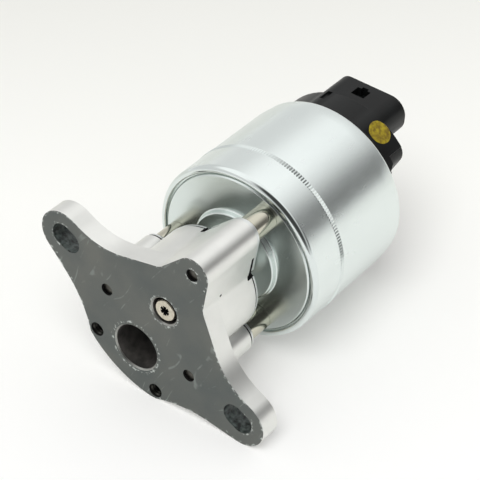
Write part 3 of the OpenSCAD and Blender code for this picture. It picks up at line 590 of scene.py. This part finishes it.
SHEET = 0.6
STEM_ROOM = 3.0
SHIELD_RADIUS = 9.0
SHIELD_TOP = PLATE_TOP + 5.2
SHIELD_BRIM = 2.0
SHIELD_SLOPE = 2.0
INNER_SLOPE = 2.25
shield = turned("bush_shield", [
    (STEM_ROOM, SHIELD_TOP - SHEET), (STEM_ROOM, SHIELD_TOP),
    (SHIELD_RADIUS - SHIELD_SLOPE, SHIELD_TOP), (SHIELD_RADIUS, SHIELD_TOP - SHIELD_SLOPE),
    (SHIELD_RADIUS, PLATE_TOP + SHEET), (SHIELD_RADIUS + SHIELD_BRIM, PLATE_TOP + SHEET),
    (SHIELD_RADIUS + SHIELD_BRIM, PLATE_TOP), (SHIELD_RADIUS - SHEET, PLATE_TOP),
    (SHIELD_RADIUS - SHEET, SHIELD_TOP - INNER_SLOPE),
    (SHIELD_RADIUS - INNER_SLOPE, SHIELD_TOP - SHEET)], 96)
soften(shield, 0.25, 3)
wear(shield, plated_sheet)
stands_for(shield, HOUSING, "plated_sheet", "stem_shield")

washer = [(SCREW_HOLE, PLATE_TOP), (WASHER_RADIUS, PLATE_TOP), (WASHER_RADIUS, STANDOFF_FOOT),
          (SCREW_HOLE, STANDOFF_FOOT)]
washers = one_piece("tie_washers", [turned("tie_washer", washer, 96, tie) for tie in TIES])
soften(washers, 0.2)
wear(washers, plated_sheet)
stands_for(washers, HOUSING, "plated_sheet", "standoff_washers")

tube = [(SCREW_HOLE, STANDOFF_FOOT), (STANDOFF_RADIUS, STANDOFF_FOOT),
        (STANDOFF_RADIUS, POLE_FACE), (SCREW_HOLE, POLE_FACE)]
tubes = one_piece("tie_tubes", [turned("tie_tube", tube, 96, tie) for tie in TIES])
soften(tubes, 0.3)
wear(tubes, standoff_nickel)
stands_for(tubes, HOUSING, "nickel_tube", "standoffs")

# The tie screws, whose ends stand 1 mm under the mounting face
SOLID_SCREW_END = 2.0
SCREW_END = 1.0
screws = dressed_copy("tie_screws", "tie_bolts")
shifted(screws, lambda spot: spot.co.z < (SOLID_SCREW_END + 0.01) * MM,
        lift=SCREW_END - SOLID_SCREW_END)
soften(screws, 0.2)
wear(screws, tie_steel)
stands_for(screws, HOUSING, "screw_steel", "tie_screws")

# The valve, whose stained tip shows in the small port. It comes nearer to the mounting face
# than its solid, its edge slopes back and its star, dark with painted shade, is smaller
TIP_END, TIP_EDGE, TIP_LIFT = 1.2, 1.6, 0.8
STAR_REACH, STAR_TOP, STAR_SHRINK = 1.75, 3, 0.72


def stem_zone(place, facing, low, high):
    """The star is painted shade, the rest stained."""
    return int(place.xy.length < STAR_REACH and TIP_END - TIP_LIFT + 0.05 < place.z < STAR_TOP)


tip = dressed_copy("pintle", "valve_stem")
shifted(tip, lambda spot: spot.co.z < STAR_TOP * MM and spot.co.xy.length < STAR_REACH * MM,
        spread=STAR_SHRINK)
shifted(tip, lambda spot: abs(spot.co.z / MM - TIP_END) < 0.01, lift=-TIP_LIFT)
shifted(tip, lambda spot: abs(spot.co.z / MM - TIP_EDGE) < 0.02, lift=-TIP_LIFT / 2)
soften(tip, 0.12)
# The star takes painted shade
wear(tip, tip_steel, painted_recess_shade, zone=stem_zone)
stands_for(tip, VALVE, "turned_steel", "pintle")

# The can and the bright plate that closes its front
POLE_BORE = 3.3
PAD_RADIUS, PAD_HEIGHT = 16.2, 2
PAD_SLOPE, PAD_BREAK = 1.0, 0.35
PLATE_EDGE, PLATE_RIM, EDGE_BREAK = 27.95, 1.2, 0.5
BACK_RADIUS = 29.45
pole = turned("pole_disc", [
    (POLE_BORE, POLE_FACE - PAD_HEIGHT), (PAD_RADIUS - PAD_SLOPE, POLE_FACE - PAD_HEIGHT),
    (PAD_RADIUS - PAD_SLOPE + PAD_BREAK, POLE_FACE - PAD_HEIGHT + PAD_BREAK),
    (PAD_RADIUS - PAD_BREAK, POLE_FACE - PAD_BREAK),
    (PAD_RADIUS, POLE_FACE), (PLATE_EDGE - EDGE_BREAK, POLE_FACE),
    (PLATE_EDGE, POLE_FACE + EDGE_BREAK),
    (PLATE_EDGE, POLE_FACE + PLATE_RIM), (BACK_RADIUS, POLE_FACE + PLATE_RIM),
    (BACK_RADIUS, POLE_BACK), (POLE_BORE, POLE_BACK)])
soften(pole, 0.1, smooth=20)
wear(pole, pole_zinc)
stands_for(pole, HOUSING, "bright_pole", "pole_plate")

WALL = 1.2
FRONT_LIP = 1.3
LIP_BREAK = 0.3
EDGE = 1.8
REAR_EDGE = 1.2
REAR_INSET, REAR_TAPER = 0.5, 6
REAR_ROLLED = 1.0
can = turned("drawn_can", (
    [(LIP_RADIUS, CAN_FRONT + FRONT_LIP), (LIP_RADIUS, CAN_FRONT + LIP_BREAK),
     (LIP_RADIUS + LIP_BREAK, CAN_FRONT)]
    + arc(CAN_RADIUS - EDGE, CAN_FRONT + EDGE, EDGE, 270, 360, 10)
    + [(CAN_RADIUS, CAN_REAR - REAR_TAPER), (CAN_RADIUS - REAR_INSET, CAN_REAR - REAR_EDGE)]
    + arc(CAN_RADIUS - REAR_INSET - REAR_EDGE, CAN_REAR - REAR_EDGE, REAR_EDGE, 0, 90, 8)
    + [(LIP_RADIUS, CAN_REAR), (LIP_RADIUS, CAN_REAR - WALL), (CAN_RADIUS - WALL, CAN_REAR - WALL),
       (CAN_RADIUS - WALL, CAN_FRONT + FRONT_LIP)]))
soften(can, 0, smooth=50)
wear(can, can_zinc, rolled_zinc,
     zone=lambda place, facing, low, high: int(high < CAN_FRONT + EDGE + 0.1
                                               or low > CAN_REAR - REAR_ROLLED))
stands_for(can, HOUSING, "zinc_can", "can_shell")

# The band of short rolled teeth round the can, 0.97 mm apart
BAND_FOOT, BAND_TOP = 49.6, 51.6
BAND_END = 0.25
BAND_ROOT, BAND_SKIN = CAN_RADIUS - 0.5, CAN_RADIUS - 0.02
TOOTH_RISE = 0.22
TEETH = 200


def on_tooth(spot):
    """Whether a point of the band is on the crest of a tooth."""
    x, y, z = spot.co / MM
    number = round(math.atan2(y, x) / math.pi * TEETH)
    return (math.hypot(x, y) > CAN_RADIUS - 0.2 and number % 2 == 0
            and BAND_FOOT + 0.1 < z < BAND_TOP - 0.1)


band = turned("rolled_band", [
    (BAND_ROOT, BAND_FOOT), (BAND_SKIN, BAND_FOOT), (BAND_SKIN, BAND_FOOT + BAND_END),
    (BAND_SKIN, BAND_TOP - BAND_END), (BAND_SKIN, BAND_TOP), (BAND_ROOT, BAND_TOP)], 2 * TEETH)
shifted(band, on_tooth, spread=(CAN_RADIUS + TOOTH_RISE) / CAN_RADIUS)
wear(band, rolled_zinc)
stands_for(band, HOUSING, "zinc_can")

# The cap with its plug socket, and the inspector's dab of paint on its wall
cap = dressed_copy("connector_cap", "socket_cap")
soften(cap, 0.35)
wear(cap, cap_nylon)
stands_for(cap, HOUSING, "cap_plastic", "connector_cap")

DOT_TURN = math.radians(95.0)
DOT_HEIGHT = 92.0
DOT_RADIUS = 4.15
DOT_RINGS, RING_WIDTH = 7, 0.6
PAINT_LIFT, PAINT_THICK = 0.1, 0.12
outward = Vector((math.cos(DOT_TURN), math.sin(DOT_TURN), 0))
bpy.ops.object.select_all(action="DESELECT")
bpy.ops.mesh.primitive_circle_add(
    vertices=72, radius=DOT_RADIUS * MM, fill_type="NGON",
    location=outward * (CAP_RADIUS + 0.5) * MM + Vector((0, 0, DOT_HEIGHT * MM)),
    rotation=outward.to_track_quat("Z", "Y").to_euler())
dot = bpy.context.object
dot.name = "paint_dot"
bpy.ops.object.transform_apply(location=True, rotation=True, scale=True)
bpy.ops.object.mode_set(mode="EDIT")
bpy.ops.mesh.select_all(action="SELECT")
for ring in range(DOT_RINGS):
    bpy.ops.mesh.inset(thickness=RING_WIDTH * MM)
bpy.ops.object.mode_set(mode="OBJECT")
modified(dot, "SHRINKWRAP", wrap_method="NEAREST_SURFACEPOINT", wrap_mode="ABOVE_SURFACE",
         target=cap, offset=PAINT_LIFT * MM)
modified(dot, "SOLIDIFY", thickness=PAINT_THICK * MM, offset=-1)
soften(dot, 0.04, angle=60)
wear(dot, dot_paint)
stands_for(dot, HOUSING, "cap_plastic")

contacts = dressed_copy("terminals", "socket_contacts")
soften(contacts, 0.2)
wear(contacts, contact_brass)
stands_for(contacts, HOUSING, "contact_brass", "terminals")

# The way the valve lies, and where the camera stands and looks
UP = Vector((0.494, 0.869, -0.0848)).normalized()
EYE = Vector((-0.0675, 0.4816, -0.3601))
IMAGE_RIGHT = Vector((-0.689, 0.402, 0.603))
IMAGE_DOWN = Vector((-0.716, -0.505, -0.481))
AHEAD = Vector((0.111, -0.763, 0.636))
FOCAL_PIXELS, FRAME_PIXELS, SENSOR = 1993.68, 480, 36
along_view = (AHEAD - AHEAD.dot(UP) * UP).normalized()

# Floor: a sheet of pale paper under the lying valve, a little greyer far from the camera as
# painted shade
FLOOR_SIZE = 30.0
FLOOR_DROP = 37.28
bpy.ops.object.select_all(action="DESELECT")
bpy.ops.mesh.primitive_plane_add(size=FLOOR_SIZE)
floor = bpy.context.object
floor.name = "floor"
floor.matrix_world = (Matrix.Translation(-FLOOR_DROP * MM * UP)
                      @ UP.to_track_quat("Z", "Y").to_matrix().to_4x4())
bpy.ops.object.transform_apply(location=True, rotation=True, scale=True)

# The share of the paper's light that the camera and mirrors see as an even glow. From below
# the camera sees through the paper
PAPER_GLOW = 0.2
PAPER_STRENGTH = 1.33
NEAR_TONE, FAR_TONE = -0.05, 0.25
paper, tree, surface, place = finish_named("floor_paper", Roughness=0.9, Specular_IOR_Level=0.0)
depth = add(tree, "VectorMath", {0: place, 1: along_view}, operation="DOT_PRODUCT")
far = add(tree, "MapRange", {"Value": depth.outputs["Value"], "From Min": NEAR_TONE,
                             "From Max": FAR_TONE})
# The greying with distance is painted shade in the paper's colour
tone = add(tree, "ValToRGB", {"Fac": far.outputs["Result"]},
           ((0.0, linear("FBFBFA")), (1.0, linear("E4E4DF")), (0.5, linear("F8F8F4"))))
tree.links.new(tone.outputs["Color"], surface.inputs["Base Color"])
glow = add(tree, "Emission", {"Color": tone.outputs["Color"], "Strength": PAPER_STRENGTH})
clear = add(tree, "BsdfTransparent")
ray = add(tree, "LightPath")
mirrored = add(tree, "Math", {0: ray.outputs["Is Glossy Ray"],
                              1: ray.outputs["Is Transmission Ray"]}, operation="MAXIMUM")
direct = add(tree, "Math", {0: ray.outputs["Diffuse Depth"], 1: 0.5}, operation="LESS_THAN")
first = add(tree, "Math", {0: mirrored.outputs[0], 1: direct.outputs[0]}, operation="MULTIPLY")
seen = add(tree, "Math", {0: ray.outputs["Is Camera Ray"], 1: first.outputs[0]},
           operation="MAXIMUM")
share = add(tree, "Math", {0: seen.outputs[0], 1: PAPER_GLOW}, operation="MULTIPLY")
above = add(tree, "MixShader", {0: share.outputs[0], 1: surface.outputs[0],
                                2: glow.outputs[0]})
below = add(tree, "MixShader", {0: ray.outputs["Is Camera Ray"], 1: glow.outputs[0],
                                2: clear.outputs[0]})
side = add(tree, "NewGeometry").outputs["Backfacing"]
both = add(tree, "MixShader", {0: side, 1: above.outputs[0], 2: below.outputs[0]})
tree.links.new(both.outputs[0], tree.nodes["Material Output"].inputs["Surface"])
wear(floor, paper)

# Room: even light for dull surfaces; mirrors see a bright ceiling, greyer walls that are
# dark on the right, the sweep of the paper near the floor and the dark camera stand
AMBIENT = 0.6
RELAYED = 0.15
BACKGROUND = 0.93
LEFT_WALL, RIGHT_WALL = 0.76, 0.2
CEILING = 1.14
SWEEP = 0.95
CAMERA_STAND = 0.06
world = bpy.data.worlds.new("studio")
bpy.context.scene.world = world
world.use_nodes = True
sky = world.node_tree
backdrop = sky.nodes["Background"]
backdrop.inputs["Color"].default_value = (1, 1, 1, 1)
toward = add(sky, "TexCoord").outputs["Generated"]
height, right, camward = [
    add(sky, "VectorMath", {0: toward, 1: way}, operation="DOT_PRODUCT").outputs["Value"]
    for way in (UP, IMAGE_RIGHT, -AHEAD)]

# Each part of the room fades in or out by a soft step: along what, from where to where, and
# between which levels
FADES = {
    "wall": (right, 0.66, 0.93, LEFT_WALL, RIGHT_WALL),
    "ceiling": (height, 0.48, 0.66, 0, 1),
    "ceiling_end": (right, 0.45, 0.8, 1, 0),
    "sweep": (height, 0.0, 0.15, 1, 0),
    "camera_stand": (camward, 0.64, 0.87, 0, 1),
}
faded = {
    part: add(sky, "MapRange", {"Value": value, "From Min": start, "From Max": end,
                                "To Min": before, "To Max": after},
              interpolation_type="SMOOTHSTEP").outputs["Result"]
    for part, (value, start, end, before, after) in FADES.items()}
overhead = add(sky, "Math", {0: faded["ceiling"], 1: faded["ceiling_end"]},
               operation="MULTIPLY")
roofed = add(sky, "Mix", {"Factor": overhead.outputs[0], 2: faded["wall"], 3: CEILING})
swept = add(sky, "Mix", {"Factor": faded["sweep"], 2: roofed.outputs[0], 3: SWEEP})
studio = add(sky, "Mix", {"Factor": faded["camera_stand"], 2: swept.outputs[0],
                          3: CAMERA_STAND})
path = add(sky, "LightPath")
reflected = add(sky, "Math", {0: path.outputs["Is Glossy Ray"],
                              1: path.outputs["Is Transmission Ray"]}, operation="MAXIMUM")
# What dull surfaces get by way of the metal is weak, so the shadow stays a shadow
unrelayed = add(sky, "Math", {0: path.outputs["Diffuse Depth"], 1: 0.5}, operation="LESS_THAN")
mirrored_light = add(sky, "Mix", {"Factor": unrelayed.outputs[0], 2: RELAYED,
                                  3: studio.outputs[0]})
level = add(sky, "Mix", {"Factor": reflected.outputs[0], 2: AMBIENT,
                         3: mirrored_light.outputs[0]})
shown = add(sky, "Mix", {"Factor": path.outputs["Is Camera Ray"], 2: level.outputs[0],
                         3: BACKGROUND})
sky.links.new(shown.outputs[0], backdrop.inputs["Strength"])

# One large soft lamp, high in front and a little to the left, which mirrors don't see
LAMP_SPREAD = math.radians(40)
LAMP_STRENGTH = 1.38
LAMP_HIGH, LAMP_LEFT, LAMP_FRONT = 0.91, 0.14, 0.35
lamp_data = bpy.data.lights.new("softbox", "SUN")
lamp_data.angle = LAMP_SPREAD
lamp_data.energy = LAMP_STRENGTH
lamp = bpy.data.objects.new("softbox", lamp_data)
bpy.context.scene.collection.objects.link(lamp)
lamp_from = (LAMP_HIGH * UP - LAMP_LEFT * IMAGE_RIGHT - LAMP_FRONT * along_view).normalized()
lamp.matrix_world = lamp_from.to_track_quat("Z", "Y").to_matrix().to_4x4()
lamp.visible_glossy = False

camera_data = bpy.data.cameras.new("photo_camera")
camera_data.sensor_width = SENSOR
camera_data.lens = FOCAL_PIXELS / FRAME_PIXELS * SENSOR
camera_data.clip_start = 0.01
camera = bpy.data.objects.new("photo_camera", camera_data)
bpy.context.scene.collection.objects.link(camera)
turn = Matrix((IMAGE_RIGHT, -IMAGE_DOWN, -AHEAD)).transposed()
camera.matrix_world = Matrix.Translation(EYE) @ turn.to_4x4()
bpy.context.scene.camera = camera
bpy.context.scene.view_settings.view_transform = "Standard"
